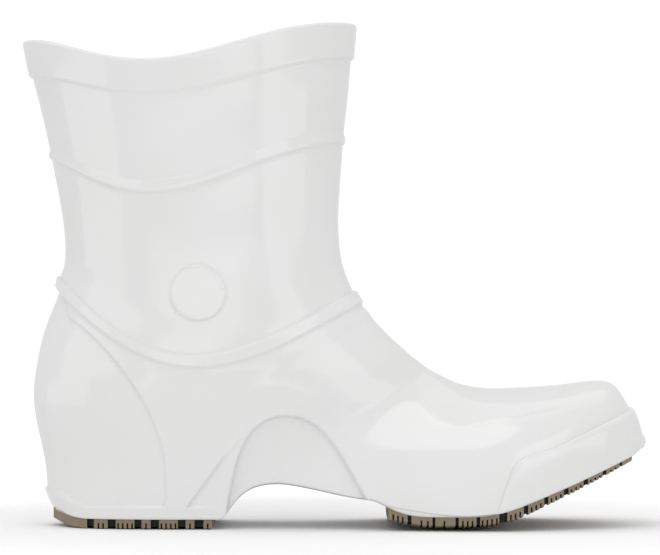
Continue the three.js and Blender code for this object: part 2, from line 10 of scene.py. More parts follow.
import bpy
import numpy as np
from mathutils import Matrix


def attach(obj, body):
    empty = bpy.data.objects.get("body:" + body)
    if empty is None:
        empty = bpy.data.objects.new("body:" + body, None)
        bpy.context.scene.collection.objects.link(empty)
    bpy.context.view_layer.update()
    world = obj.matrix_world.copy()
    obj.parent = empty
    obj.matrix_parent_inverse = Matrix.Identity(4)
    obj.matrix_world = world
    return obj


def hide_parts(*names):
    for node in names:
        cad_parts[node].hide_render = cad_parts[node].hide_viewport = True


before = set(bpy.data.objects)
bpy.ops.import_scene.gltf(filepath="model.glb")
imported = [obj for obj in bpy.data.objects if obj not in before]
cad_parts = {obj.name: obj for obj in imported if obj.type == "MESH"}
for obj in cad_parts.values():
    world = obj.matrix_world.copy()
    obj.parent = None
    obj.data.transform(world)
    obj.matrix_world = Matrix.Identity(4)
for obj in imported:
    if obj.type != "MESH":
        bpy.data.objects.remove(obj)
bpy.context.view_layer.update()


# UPPER
# One hollow moulding of plasticised PVC: a last-shaped foot and a short flared shaft, with a rim band, a thin
# rib and an ankle bead raised round it, and a heel panel, a small facet and an arch recess sunk into its sides.
# It is injected in a polished steel mould, so its edges are slightly rounded and its skin is glossy.

LENGTH = 291.0
SHAFT_HEIGHT = 237.4
ANKLE_HEIGHT = 112.0
BALL_WIDTH = 102.0
ANKLE_LENGTH, ANKLE_WIDTH = 130.0, 86.0
ANKLE_X = 0.0875 * LENGTH                      # middle of the ankle
COLLAR_LENGTH, COLLAR_WIDTH = 156.0, 112.0     # under the rim band
SHAFT_WALL, FOOT_WALL = 2.4, 3.2

# Sections of the shaft from the collar down. Heights are percentages of the shaft above the ankle, and out and
# wide of the flare from ankle to collar. A section's sides sag below its front and back.
# frontUp frontOut backUp backOut sag low sharp wide widest roundTop roundBottom
SHAFT_ROWS = [
    (100, 28, 93.5, 71, 11.4, 0.40, 2.2, 112, 0.48, 2.15, 2.15),
    (87.7, 23, 80.9, 59, 10.4, 0.42, 1.8, 90, 0.48, 2.15, 2.15),
    (74.2, 18, 67.0, 42, 11.2, 0.40, 1.9, 68, 0.48, 2.15, 2.15),
    (59.0, 10, 52.6, 26.5, 15.2, 0.37, 1.9, 43, 0.48, 2.15, 2.15),
    (40.7, 3.5, 38.3, 13, 15.2, 0.38, 1.6, 23.5, 0.48, 2.15, 2.15),
    (26.3, 0, 26.3, 3, 17.5, 0.40, 1.4, 9, 0.47, 2.15, 2.2),
    (14.0, 3.5, 15.2, -1.5, 21.5, 0.43, 1.25, 0, 0.47, 2.15, 2.2),
    (6.4, 12, 8.4, 1.5, 24.3, 0.45, 1.15, -3, 0.46, 2.15, 2.25),
    (-0.4, 26, 5.1, 6.5, 26.5, 0.46, 1.1, -5, 0.46, 2.15, 2.3),
]

# Sections of the foot from the ankle bead round the heel to the toe, each from a point on top to one at the
# back or bottom. X is a percentage of the length, Z and sag of the ankle's height, and outer, inner and swing
# of the ball's width.
# topX topZ botX botZ sag outer inner swing widest roundTop roundBottom
FOOT_ROWS = [
    (34.7, 93.9, -14.6, 100.7, 29.5, 41.4, 41.4, 0, 0.46, 2.2, 2.3),
    (35.9, 90.5, -15.8, 92.5, 27.7, 41.2, 41.2, 0, 0.46, 2.2, 2.3),
    (36.9, 86.9, -17.4, 81.3, 25.9, 40.8, 40.8, 0, 0.455, 2.2, 2.35),
    (38.0, 83.8, -18.4, 69.6, 23.7, 40.4, 40.4, 0, 0.45, 2.2, 2.4),
    (39.0, 81.1, -19.0, 58.0, 21.4, 39.9, 39.9, 0, 0.445, 2.2, 2.4),
    (40.0, 78.6, -18.7, 46.4, 18.8, 39.2, 39.2, 0, 0.44, 2.2, 2.4),
    (41.1, 76.1, -17.8, 35.3, 16.1, 38.4, 38.4, 0, 0.43, 2.2, 2.4),
    (42.1, 73.7, -17.0, 24.1, 13.4, 37.5, 37.5, 0, 0.42, 2.2, 2.4),
    (43.1, 71.4, -16.7, 12.1, 10.7, 36.5, 36.5, 0, 0.41, 2.2, 2.45),
    (44.2, 69.3, -16.3, 0, 8.0, 35.6, 35.6, 0, 0.40, 2.2, 2.5),
    (45.2, 67.3, -15.5, -11.6, 5.8, 34.9, 34.9, 0, 0.39, 2.2, 2.6),
    (46.2, 65.6, -11.0, -19.6, 3.6, 34.5, 34.5, 0, 0.37, 2.2, 2.7),
    (47.3, 64.1, -2.7, -21.4, 2.2, 34.9, 34.5, 0, 0.36, 2.2, 2.8),
    (48.5, 62.5, 6.2, -19.6, 0.9, 36.2, 35.1, 0, 0.345, 2.2, 2.8),
    (49.8, 60.9, 15.1, -16.5, 0, 38.4, 36.1, 0, 0.33, 2.2, 2.8),
    (51.4, 59.5, 23.4, -14.3, 0, 41.3, 39.2, 0.5, 0.33, 2.2, 2.8),
    (53.3, 58.5, 31.3, -13.8, 0, 44.4, 42.6, 1.0, 0.33, 2.25, 2.8),
    (55.5, 57.9, 38.5, -13.8, 0, 47.2, 46.1, 1.5, 0.33, 2.3, 2.8),
    (58.1, 57.9, 45.0, -13.4, 0, 49.2, 49.0, 2.0, 0.33, 2.35, 2.8),
    (61.0, 58.1, 50.9, -12.1, 0, 49.7, 50.2, 2.5, 0.33, 2.4, 2.8),
    (64.1, 58.6, 56.4, -9.4, 0, 47.7, 49.6, 3.0, 0.34, 2.5, 2.8),
    (67.2, 59.2, 61.3, -5.4, 0, 44.1, 47.3, 3.2, 0.35, 2.6, 2.8),
    (70.1, 60.3, 65.6, -0.4, 0, 39.7, 43.7, 3.4, 0.36, 2.7, 2.8),
    (72.7, 61.0, 69.4, 3.6, 0, 34.8, 39.8, 3.4, 0.37, 2.7, 2.7),
    (74.7, 60.9, 72.5, 7.1, 0, 30.6, 36.3, 3.4, 0.38, 2.7, 2.6),
    (76.3, 58.8, 74.9, 10.7, 0, 26.0, 32.0, 3.4, 0.40, 2.6, 2.5),
    (77.6, 54.3, 76.8, 13.8, 0, 21.8, 28.1, 3.4, 0.42, 2.5, 2.4),
    (78.7, 49.3, 78.1, 17.0, 0, 17.3, 23.7, 3.4, 0.45, 2.3, 2.3),
    (79.6, 43.8, 79.2, 20.5, 0, 12.4, 18.8, 3.4, 0.47, 2.2, 2.2),
    (80.3, 37.5, 80.0, 25.0, 0, 6.6, 13.0, 3.4, 0.50, 2.0, 2.0),
]


def measured_rows():
    """Both tables in millimetres, with the same columns:
    topX topZ botX botZ sag low sharp outer inner swing widest roundTop roundBottom."""
    rise = (SHAFT_HEIGHT - ANKLE_HEIGHT) / 100
    flare = (COLLAR_LENGTH - ANKLE_LENGTH) / 100
    x, y, z = LENGTH / 100, BALL_WIDTH / 100, ANKLE_HEIGHT / 100
    rows = []
    for up, out, back_up, back_out, sag, low, sharp, wide, *rest in SHAFT_ROWS:
        half = ANKLE_WIDTH / 2 + wide * (COLLAR_WIDTH - ANKLE_WIDTH) / 200
        rows.append((ANKLE_X + ANKLE_LENGTH / 2 + out * flare, ANKLE_HEIGHT + up * rise,
                     ANKLE_X - ANKLE_LENGTH / 2 - back_out * flare, ANKLE_HEIGHT + back_up * rise,
                     sag * rise, low, sharp, half, half, 0, *rest))
    for top_x, top_z, bot_x, bot_z, sag, outer, inner, swing, widest, *rest in FOOT_ROWS:
        rows.append((top_x * x, top_z * z, bot_x * x, bot_z * z, sag * z, widest, 1.1,
                     outer * y, inner * y, swing * y, widest, *rest))
    return np.array(rows, float)


rows = measured_rows()
LAST = len(rows) - 1
TOE_TIP = np.array([0.808 * LENGTH, 0.034 * BALL_WIDTH, 0.313 * ANKLE_HEIGHT])


def curve_bends(table):
    """Second differences that make a cubic curve through the rows run smoothly from end to end."""
    n = len(table)
    system = np.diag(np.full(n, 4.0)) + np.diag(np.ones(n - 1), 1) + np.diag(np.ones(n - 1), -1)
    system[0, :2] = system[-1, -2:] = 0
    system[0, 0] = system[-1, -1] = 1
    right = np.zeros_like(table)
    right[1:-1] = 6 * (table[2:] - 2 * table[1:-1] + table[:-2])
    return np.linalg.solve(system, right)


bends = curve_bends(rows)


def sections_at(station):
    """Columns of the smoothed tables at these stations. Station 0 is the first row and LAST the last."""
    i = np.clip(np.floor(station).astype(int), 0, LAST - 1)
    t = (station - i)[:, None]
    a, b = 1 - t, t
    value = a * rows[i] + b * rows[i + 1] + ((a**3 - a) * bends[i] + (b**3 - b) * bends[i + 1]) / 6
    return value.T


def form(station, turn):
    """Points of the boot's plain form. station runs from the collar (0) to the toe (LAST, and a dome to
    LAST + 1), and turn once round a section, from its top by way of the outer side."""
    dome = np.clip(station - LAST, 0, 1) * math.pi / 2
    (top_x, top_z, bot_x, bot_z, sag, low, sharp, outer, inner, swing,
     widest, round_top, round_bottom) = sections_at(np.minimum(station, LAST))
    chord = np.hypot(top_x - bot_x, top_z - bot_z)
    ux, uz = (top_x - bot_x) / chord, (top_z - bot_z) / chord
    c, s = np.cos(2 * math.pi * turn), np.sin(2 * math.pi * turn)
    power = np.where(c > 0, round_top, round_bottom)
    reach = (np.abs(c) ** power + np.abs(s) ** power) ** (-1 / power)
    along = reach * c * np.where(c > 0, 1 - widest, widest) * chord
    share = np.clip((widest * chord + along) / chord, 0, 1)
    hang = sag * np.abs(np.sin(math.pi * share ** (math.log(0.5) / np.log(low)))) ** sharp
    half = np.where(s > 0, outer + swing, inner - swing)
    points = np.stack([
        bot_x + ux * share * chord + uz * hang,
        swing - reach * s * half,
        bot_z + uz * share * chord - ux * hang,
    ], axis=1)
    middle = np.stack([(top_x + bot_x) / 2, swing, (top_z + bot_z) / 2], axis=1)
    domed = middle + (points - middle) * np.cos(dome)[:, None] + (TOE_TIP - middle) * np.sin(dome)[:, None]
    return np.where(dome[:, None] > 0, domed, points)


def outward(station, turn):
    """Unit normals of the plain form, from small steps along it and around it."""
    ds, dt = 0.02, 0.002
    along = form(station + ds, turn) - form(station - ds, turn)
    around = form(station, turn + dt) - form(station, turn - dt)
    normal = np.cross(around, along)
    return normal / np.maximum(np.linalg.norm(normal, axis=1, keepdims=True), 1e-9)


def station_below(station, distance):
    """The station that lies this far below another, measured down the front of the boot."""
    stations = np.arange(station, station + 6, 0.01)
    top = sections_at(np.minimum(stations, LAST))[:2].T
    travelled = np.concatenate([[0], np.cumsum(np.linalg.norm(np.diff(top, axis=0), axis=1))])
    return float(np.interp(distance, travelled, stations))


def ease(share):
    """0 up to 0, 1 from 1, and a smooth step between them."""
    share = np.clip(share, 0, 1)
    return share * share * (3 - 2 * share)


# Raised bands: where each starts and ends, how proud it is at the front and back and at the sides, and how
# long its rounded upper and lower edges are
rim_band = dict(start=-1.0, end=station_below(0, 15.5), proud=(1.6, 0.45), upper=0, lower=2.2)
rib = dict(start=3.0, end=station_below(3, 4.4), proud=(1.0, 0.7), upper=1.2, lower=1.8)
bead = dict(start=8.0, end=station_below(8, 6.6), proud=(1.8, 1.05), upper=1.6, lower=2.6)


def band_relief(station, turn):
    """How far the three bands stand out, in millimetres."""
    total = np.zeros_like(station)
    aside = np.sin(2 * math.pi * turn) ** 2
    for band in (rim_band, rib, bead):
        proud = band["proud"][0] + (band["proud"][1] - band["proud"][0]) * aside
        last = station_below(band["end"], band["lower"]) - band["end"]
        proud = proud * (1 - ease((station - band["end"]) / last))
        if band["upper"]:
            first = station_below(band["start"], band["upper"]) - band["start"]
            proud = proud * ease((station - band["start"]) / first)
        total += proud
    return total


def trace(start, *legs):
    """A line in the side view: X in percent of the length, Z in millimetres. A leg is one point for a straight
    line, two for a bend and three for a double bend."""
    line = [np.array([start], float)]
    t = np.linspace(0, 1, 13)[1:, None]
    for leg in legs:
        p = [line[-1][-1], *np.array(leg, float)]
        while len(p) > 1:
            p = [a + (b - a) * t for a, b in zip(p, p[1:])]
        line.append(p[0])
    return np.concatenate(line) * (LENGTH / 100, 1)


def distance_to(line, x, z):
    """Distance of points in the side view from the nearest stretch of a line."""
    best = np.full(len(x), 1e9)
    for (ax, az), (bx, bz) in zip(line, line[1:]):
        dx, dz = bx - ax, bz - az
        t = np.clip(((x - ax) * dx + (z - az) * dz) / max(dx * dx + dz * dz, 1e-12), 0, 1)
        best = np.minimum(best, np.hypot(x - ax - t * dx, z - az - t * dz))
    return best


def height_over(line):
    """Signed distance from a line that runs from the heel to the toe, positive above it."""
    def field(points):
        x, z = points[:, 0], points[:, 2]
        return np.sign(z - np.interp(x, line[:, 0], line[:, 1])) * distance_to(line, x, z)
    return field


def depth_in(outline):
    """Signed distance from a closed outline in the side view, negative inside it."""
    closed = np.concatenate([outline, outline[:1]])

    def field(points):
        x, z = points[:, 0], points[:, 2]
        inside = np.zeros(len(x), bool)
        for (ax, az), (bx, bz) in zip(closed, closed[1:]):
            if az != bz:
                inside ^= ((az > z) != (bz > z)) & (x < ax + (z - az) * (bx - ax) / (bz - az))
        return np.where(inside, -1, 1) * distance_to(closed, x, z)
    return field


def up(percent):
    """A height given as a percentage of the ankle's."""
    return percent / 100 * ANKLE_HEIGHT


HEEL_Z = 4.6                   # the white underside over the floor, at the heel
BALL_Z = 5.2                   # and in the middle of the ball
LIP_Z = 9.9                    # top of the lip under the heel panel

heel_panel = depth_in(trace(
    (-30, up(108)), [(-14.9, up(107))], [(-13.2, up(97))], [(-12.5, up(88.5))],
    [(-6.5, up(79)), (3.5, up(50)), (3.5, up(22))], [(3.5, up(12))],
    [(3.5, up(9.5)), (2.5, up(9.5))], [(-9.6, up(9.3))], [(-12.7, LIP_Z + 3.2), (-16.6, LIP_Z + 8.4)],
    [(-30, LIP_Z + 8.4)],
))
heel_facet = depth_in(trace(
    (6.9, up(9.5)), [(11.5, up(25.5)), (16.5, up(43.5))], [(14, up(26))], [(11.6, up(9.5))],
))
arch_edge = depth_in(trace(
    (12.8, -20), [(13.4, up(9.4))], [(14.6, up(27)), (15.8, up(47)), (22.7, up(47))],
    [(28.9, up(47)), (31.6, up(30.4)), (35.6, up(11.6))], [(37, -20)],
))
disc_place = (0.087 * LENGTH, up(98.5))
DISC_RADIUS, FAR = 12.8, 99.0


def disc_reach(points):
    """Signed distance from the edge of the plain disc, which is on the outer side only."""
    apart = np.hypot(points[:, 0] - disc_place[0], points[:, 2] - disc_place[1]) - DISC_RADIUS
    return np.where(points[:, 1] < 0, apart, FAR)


# Where the upper ends and the sole unit begins, and the white underside
parting_line = trace(
    (-25, LIP_Z + 8), [(-16.6, LIP_Z + 8)], [(-12.7, LIP_Z + 2.6), (-9.6, LIP_Z)], [(13.8, LIP_Z)],
    [(36.4, BALL_Z + 7.9)], [(40.5, BALL_Z + 6.6), (46, BALL_Z + 2.6), (52, BALL_Z + 2.3)],
    [(56.2, BALL_Z + 3.4)], [(58.4, BALL_Z + 21.3)], [(58.9, BALL_Z + 27.4), (61.2, BALL_Z + 29.7)],
    [(65, BALL_Z + 33)], [(79, BALL_Z + 51)], [(86, BALL_Z + 60.2)],
)
underside_line = trace(
    (-25, HEEL_Z + 8), [(-15.9, HEEL_Z + 4.4)], [(-12.2, HEEL_Z + 0.4), (-9.6, HEEL_Z)], [(12.4, HEEL_Z)],
    [(14.2, BALL_Z + 4.8), (15, BALL_Z + 16), (21.3, BALL_Z + 16)],
    [(25, BALL_Z + 15.7), (31, BALL_Z + 10.6), (36.4, BALL_Z + 8)],
    [(38.6, BALL_Z + 6.7), (39.5, BALL_Z), (46, BALL_Z)], [(52, BALL_Z)],
    [(57, BALL_Z), (60, BALL_Z + 4.8), (63.8, BALL_Z + 9.2)], [(78.8, BALL_Z + 28.2)],
    [(81, BALL_Z + 32.4)], [(86, BALL_Z + 45)],
)
parting = height_over(parting_line)


def edge_share(x, y):
    """0 along the middle of the sole, and up to 1 in the last fifth before its edges."""
    under_foot = rows[-26:]
    outer, inner, swing = (np.interp(x, under_foot[:, 2], under_foot[:, column]) for column in (7, 8, 9))
    apart = np.where(y < swing, (swing - y) / (outer + swing), (y - swing) / (inner - swing))
    return np.clip(apart, 0, 1) ** 5


def underside(x, y):
    """Height of the white underside, whose edges curve up a little at the ball."""
    lift = np.interp(x, (90, 112, 160, 200), (0, 2.1, 1.7, 0.3))
    return np.interp(x, underside_line[:, 0], underside_line[:, 1]) + lift * edge_share(x, y)


# A soft line from the instep to the toe, under which the sides fall away
toe_crease = height_over(trace(
    (45.8, -60), [(46, 42)], [(50.5, 46.6)], [(56.9, 51)], [(63.4, 55)], [(67.3, 57.2)], [(74, 60.7)],
))
CREASE_PROUD, CREASE_START, CREASE_END = 0.45, 138, 210

# How far the fields are sunk or stand proud, and how wide their rounded edges are
PANEL_DEPTH, FACET_DEPTH, FACET_TIP, DISC_PROUD = 1.2, 1.5, 0.7, 0.7
ARCH_DEPTH, ARCH_RISE = 3.6, 1.5               # deepest at the bottom, and how much less at the top
ARCH_LOW, ARCH_HIGH = 15, 47
PANEL_EDGE, ARCH_EDGE, DISC_EDGE = 1.5, 2.4, 0.9


def crease_relief(points):
    """The top of the toe stands a little proud of its sides along the crease, and less and less above it."""
    above = toe_crease(points)
    x = points[:, 0]
    along = ease((x - CREASE_START) / 14) * ease((CREASE_END - x) / 22)
    return CREASE_PROUD * along * ease(above / 1.6 + 0.5) * np.exp(-np.maximum(above, 0) / 7)


def facet_depth(points):
    """How deep the facet is: most along its rear edge, less towards the arch, and proud at its upper tip."""
    x, z = points[:, 0] / LENGTH * 100, points[:, 2] / ANKLE_HEIGHT * 100
    share = np.clip((z - 9.5) / 34, 0, 1)
    rear, front = 6.9 + 9.6 * share, 11.6 + 4.9 * share ** 1.3
    across = np.clip(1 - (x - rear) / np.maximum(front - rear, 0.3), 0, 1)
    tip = FACET_TIP * ease((share - 0.55) / 0.2) * ease((1 - share) / 0.15)
    return across * (FACET_DEPTH * ease((0.78 - share) / 0.3) - tip)


def upper_relief(station, turn, points):
    """How far the moulded skin stands out of the plain form, in millimetres."""
    below_bead = ease((station - bead["end"] - 0.05) / 0.35)
    sunk = PANEL_DEPTH * (1 - ease(heel_panel(points) / PANEL_EDGE + 0.5)) * below_bead
    sunk += facet_depth(points) * (1 - ease(heel_facet(points) / PANEL_EDGE + 0.5))
    arch_height = np.clip((points[:, 2] - ARCH_LOW) / (ARCH_HIGH - ARCH_LOW), 0, 1)
    sunk += (ARCH_DEPTH - ARCH_RISE * arch_height) * (1 - ease(arch_edge(points) / ARCH_EDGE + 0.5))
    proud = DISC_PROUD * (1 - ease(disc_reach(points) / DISC_EDGE + 0.5)) + crease_relief(points)
    return band_relief(station, turn) + proud - sunk


def sheet(stations, turns):
    """Points (station, turn) and triangles of a sheet over the form."""
    s, t = np.meshgrid(stations, turns, indexing="ij")
    points = np.stack([s.ravel(), t.ravel()], axis=1)
    n = len(turns)
    corner = (np.arange(len(stations) - 1)[:, None] * n + np.arange(n - 1)).ravel()
    a, b, c, d = corner, corner + 1, corner + n + 1, corner + n
    return points, np.concatenate([np.stack([a, b, c], 1), np.stack([a, c, d], 1)])


ON_LINE = 0.015                                # mm: a point this close to a line counts as on it


def split(points, faces, field, levels):
    """Cuts the sheet along the lines where the field has these values, so that its edges follow them."""
    value = field(points)
    for level in levels:
        v = value - level
        v[np.abs(v) < ON_LINE] = 0
        side = np.sign(v)
        corners = side[faces]
        cut = (corners.min(1) < 0) & (corners.max(1) > 0)
        keep, work = faces[~cut], faces[cut]
        # Turn each cut triangle so that the corner that differs, or the one on the line, comes first
        sides = side[work]
        lone = np.where((sides == 0).any(1), (sides == 0).argmax(1),
                        (sides * np.sign(sides.sum(1))[:, None] < 0).argmax(1))
        index = (lone[:, None] + np.arange(3)) % 3
        work = np.take_along_axis(work, index, 1)
        on_line = side[work[:, 0]] == 0
        edges = np.concatenate([work[on_line][:, 1:], work[~on_line][:, :2], work[~on_line][:, ::2]])
        pairs, place = np.unique(np.sort(edges, axis=1), axis=0, return_inverse=True)
        place = place.ravel() + len(points)
        a, b = points[pairs[:, 0]], points[pairs[:, 1]]
        va, vb = v[pairs[:, 0]], v[pairs[:, 1]]
        t = va / (va - vb)
        for _ in range(2):
            off = field(a + (b - a) * t[:, None]) - level
            t = np.clip(t - off / (vb - va), 0.02, 0.98)
        points = np.concatenate([points, a + (b - a) * t[:, None]])
        value = np.concatenate([value, np.full(len(pairs), float(level))])
        k, m = on_line.sum(), (~on_line).sum()
        mid, first, second = place[:k], place[k:k + m], place[k + m:]
        z, p, q = work[on_line].T
        l, r, s = work[~on_line].T
        faces = np.concatenate([
            keep,
            np.stack([z, p, mid], 1), np.stack([z, mid, q], 1),
            np.stack([l, first, second], 1), np.stack([first, r, s], 1), np.stack([first, s, second], 1),
        ])
    return points, faces


def on_form(field):
    """The same field over points given as (station, turn)."""
    return lambda points: field(form(points[:, 0], points[:, 1]))


def piece(name, points, faces, materials, crease=60):
    """A smooth mesh object in metres, with points closer than a hundredth of a millimetre welded."""
    used = np.unique(faces)
    points, faces = points[used], np.searchsorted(used, faces)
    _, first, back = np.unique(np.round(points * 100), axis=0, return_index=True, return_inverse=True)
    points, faces = points[first], back.ravel()[faces]
    whole = (faces[:, 0] != faces[:, 1]) & (faces[:, 1] != faces[:, 2]) & (faces[:, 2] != faces[:, 0])
    mesh = bpy.data.meshes.new(name)
    mesh.from_pydata((points / 1000).tolist(), [], faces[whole].tolist())
    mesh.validate()
    mesh.shade_smooth()
    mesh.set_sharp_from_angle(angle=math.radians(crease))
    for material in materials:
        mesh.materials.append(material)
    made = bpy.data.objects.new(name, mesh)
    bpy.context.scene.collection.objects.link(made)
    return made


def around_edges(*edges):
    """Stations close together where a band's rounded edges are."""
    fine = []
    for start, length in edges:
        fine += [station_below(start, length * k / 6) for k in range(7)]
    return fine


RIM_DEPTH = 1.3                                # height of the rolled rim over the start of the skin
SHAFT_RINGS, FOOT_RINGS, DOME_RINGS, TURNS = 116, 200, 10, 193
rim_start = station_below(0, RIM_DEPTH)
ankle_station = len(SHAFT_ROWS)
stations = np.unique(np.round(np.concatenate([
    np.linspace(rim_start, ankle_station, SHAFT_RINGS),
    np.linspace(ankle_station, LAST, FOOT_RINGS),
    np.linspace(LAST, LAST + 0.94, DOME_RINGS),
    around_edges((rim_band["end"], rim_band["lower"]), (rib["start"], rib["upper"]), (rib["end"], rib["lower"]),
                 (bead["start"], bead["upper"]), (bead["end"], bead["lower"])),
]), 4))
stations = stations[np.concatenate([[True], np.diff(stations) > 0.012])]
turns = np.linspace(0, 1, TURNS)
skin_points, skin_faces = sheet(stations, turns)
for field, levels in (
        (heel_panel, [PANEL_EDGE * k for k in (-0.5, -0.25, 0, 0.25, 0.5)]),
        (heel_facet, [PANEL_EDGE * k for k in (-0.5, -0.25, 0, 0.25, 0.5)]),
        (arch_edge, [ARCH_EDGE * k for k in (-0.5, -0.3, -0.1, 0.1, 0.3, 0.5)]),
        (disc_reach, [DISC_EDGE * k for k in (-0.5, 0, 0.5)]),
        (toe_crease, [-0.8, -0.4, 0, 0.4, 0.8]),
        (parting, [-2.4, -1.8, -1.3, -0.9, -0.55, -0.25, -0.08, 0, 0.4]),
):
    skin_points, skin_faces = split(skin_points, skin_faces, on_form(field), levels)

# The sole's bumper and strip. The lean is how much the bumper draws in for each millimetre down.
BUMPER_PROUD, BUMPER_ROUND, BUMPER_LEAN, STRIP_INSET, SOLE_ROUND = 1.8, 3.0, 0.07, 1.0, 1.0


def sole_relief(points):
    """Under the parting line: flush at the heel, a strip that stands back at the ball and a proud bumper."""
    below = -parting(points)
    x = points[:, 0]
    bumper = ease((x - 0.5585 * LENGTH) / 2.5)
    strip = ease((x - 0.36 * LENGTH) / 4) * (1 - bumper)
    rounded = np.sqrt(np.clip(1 - (1 - np.clip(below / BUMPER_ROUND, 0, 1)) ** 2, 0, 1))
    lean = BUMPER_LEAN * np.clip((225 - x) / 30, 0, 1) * below
    return bumper * (BUMPER_PROUD * rounded - lean) - STRIP_INSET * strip * ease(below / 1.0)


def moulded(points):
    """The outer skin with its relief, before the underside is cut."""
    s, t = points[:, 0], points[:, 1]
    plain = form(s, t)
    relief = upper_relief(s, t, plain) + np.where(parting(plain) < 0, sole_relief(plain), 0)
    return plain + outward(s, t) * relief[:, None]


def over_underside(points):
    """Height over the white underside, as moulded."""
    made = moulded(points)
    return made[:, 2] - underside(made[:, 0], made[:, 1])


skin_points, skin_faces = split(skin_points, skin_faces, over_underside, [0, 0.1, 0.3, 0.6, 1, 2, 4, 6, 8])

# The lower edge is rounded, and at the back of the heel it is drawn in over the height of the lip
TUCK, TUCK_HEIGHT = 3.0, 8.5
skin = moulded(skin_points)
skin_normals = outward(skin_points[:, 0], skin_points[:, 1])
clearance = skin[:, 2] - underside(skin[:, 0], skin[:, 1])
back = ease((-33 - skin[:, 0]) / 12)
tuck = SOLE_ROUND * (1 - np.sqrt(1 - (1 - np.clip(clearance / SOLE_ROUND, 0, 1)) ** 2))
tuck += TUCK * back * (1 - np.clip(clearance / TUCK_HEIGHT, 0, 1)) ** 1.3
skin[:, :2] -= skin_normals[:, :2] * tuck[:, None]
flat = clearance < 0.02
skin[flat, 2] = underside(skin[flat, 0], skin[flat, 1])

face_parting = parting(form(skin_points[:, 0], skin_points[:, 1]))[skin_faces].mean(1)
face_clearance = clearance[skin_faces].mean(1)
upper_faces = skin_faces[(face_parting > 0) & (face_clearance > 0)]
sole_faces = skin_faces[(face_parting <= 0) | (face_clearance <= 0)]


def hex_colour(text):
    """An sRGB hex colour as the linear RGBA that a shader takes."""
    parts = [int(text[i:i + 2], 16) / 255 for i in (1, 3, 5)]
    return [c / 12.92 if c <= 0.04045 else ((c + 0.055) / 1.055) ** 2.4 for c in parts] + [1.0]


def add_node(material, kind, values=None, links=None, **settings):
    """Adds one node, sets it up and links its inputs."""
    node = material.node_tree.nodes.new(kind)
    for key, value in settings.items():
        setattr(node, key, value)
    for key, value in (values or {}).items():
        node.inputs[key].default_value = value
    for key, source in (links or {}).items():
        material.node_tree.links.new(source, node.inputs[key])
    return node


def blank_material(name):
    """A material with no node in it, and its object coordinates, which are in metres."""
    material = bpy.data.materials.new(name)
    material.use_nodes = True
    material.node_tree.nodes.clear()
    return material, add_node(material, "ShaderNodeTexCoord").outputs["Object"]


def noise(material, place, size, detail, roughness):
    """A noise texture whose patches are this many millimetres across."""
    return add_node(material, "ShaderNodeTexNoise",
                    {"Scale": 1000 / size, "Detail": detail, "Roughness": roughness}, {"Vector": place})


def ramp(material, source, first, second, start=0.0, end=1.0):
    """Colours between two hex values, as the source goes from start to end."""
    made = add_node(material, "ShaderNodeValToRGB", links={"Fac": source})
    for element, text, position in zip(made.color_ramp.elements, (first, second), (start, end)):
        element.color = hex_colour(text)
        element.position = position
    return made.outputs["Color"]


# Plasticised PVC, injection moulded in a polished steel mould. The eye sees a clean cool white with sharp,
# slightly wavy reflections. Where the melt cooled unevenly the white is a touch warmer and the gloss a touch
# duller.
CLOUD, WAVE, PEEL = 55, 24, 1.6                # mm across: uneven cooling, sink of the skin, orange peel
white_pvc, place = blank_material("white_pvc_polished")
cloud = noise(white_pvc, place, CLOUD, 3.0, 0.5).outputs["Fac"]
tone = ramp(white_pvc, cloud, "#DBDBDA", "#DEDEDE", 0.3, 0.7)
gloss = add_node(white_pvc, "ShaderNodeMapRange",
                 {"From Min": 0.3, "From Max": 0.7, "To Min": 0.08, "To Max": 0.12}, {"Value": cloud})
wave = noise(white_pvc, place, WAVE, 1.0, 0.4)
peel = noise(white_pvc, place, PEEL, 2.0, 0.5)
waves = add_node(white_pvc, "ShaderNodeBump", {"Strength": 1.0, "Distance": 0.00012},
                 {"Height": wave.outputs["Fac"]})
peeled = add_node(white_pvc, "ShaderNodeBump", {"Strength": 1.0, "Distance": 0.000008},
                  {"Height": peel.outputs["Fac"], "Normal": waves.outputs["Normal"]})
pvc = add_node(white_pvc, "ShaderNodeBsdfPrincipled", {"IOR": 1.53, "Metallic": 0.0},
               {"Base Color": tone, "Roughness": gloss.outputs["Result"], "Normal": peeled.outputs["Normal"]})
add_node(white_pvc, "ShaderNodeOutputMaterial", links={"Surface": pvc.outputs["BSDF"]})


def rim_row(height, depth):
    """A ring at this height over the start of the skin, moved in from the band's face by a share of its
    thickness."""
    start, step = np.full(len(turns), rim_start), 0.02
    down = form(start + step, turns) - form(start - step, turns)
    down /= np.linalg.norm(down, axis=1, keepdims=True)
    proud = band_relief(start, turns)
    moved = proud - depth * (proud + SHAFT_WALL)
    return form(start, turns) + outward(start, turns) * moved[:, None] - down * height


# The rim is rolled over the top of the band, in a slightly square round, and runs down into the mouth
SQUARE = 0.8
rim = []
for a in np.linspace(0, math.pi, 13):
    across = math.copysign(abs(math.cos(a)) ** SQUARE, math.cos(a))
    rim.append(rim_row(RIM_DEPTH * math.sin(a) ** SQUARE, (1 - across) / 2))
rim += [rim_row(-height, 1.0) for height in (1.5, 3.0, 4.5, 6.0)]
rim_points = np.concatenate(rim)
_, rim_faces = sheet(np.arange(len(rim)), turns)
rim_faces = rim_faces[:, ::-1]

upper = piece("upper_moulding", np.concatenate([skin, rim_points]),
              np.concatenate([upper_faces, rim_faces + len(skin)]), [white_pvc])
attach(upper, "root")
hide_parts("upper")


# SOLE UNIT
# The same white PVC: a lip under the heel, the arched waist, a thin strip that stands back at the ball, and a
# toe bumper that stands proud. It is moulded onto the upper, so the two meet in one fine line.

sole = piece("sole_unit", skin, sole_faces, [white_pvc])
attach(sole, "root")
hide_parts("sole")


# LINING
# A thin knitted lining bonded to the inside of the shaft and foot, cut off a little below the rim.

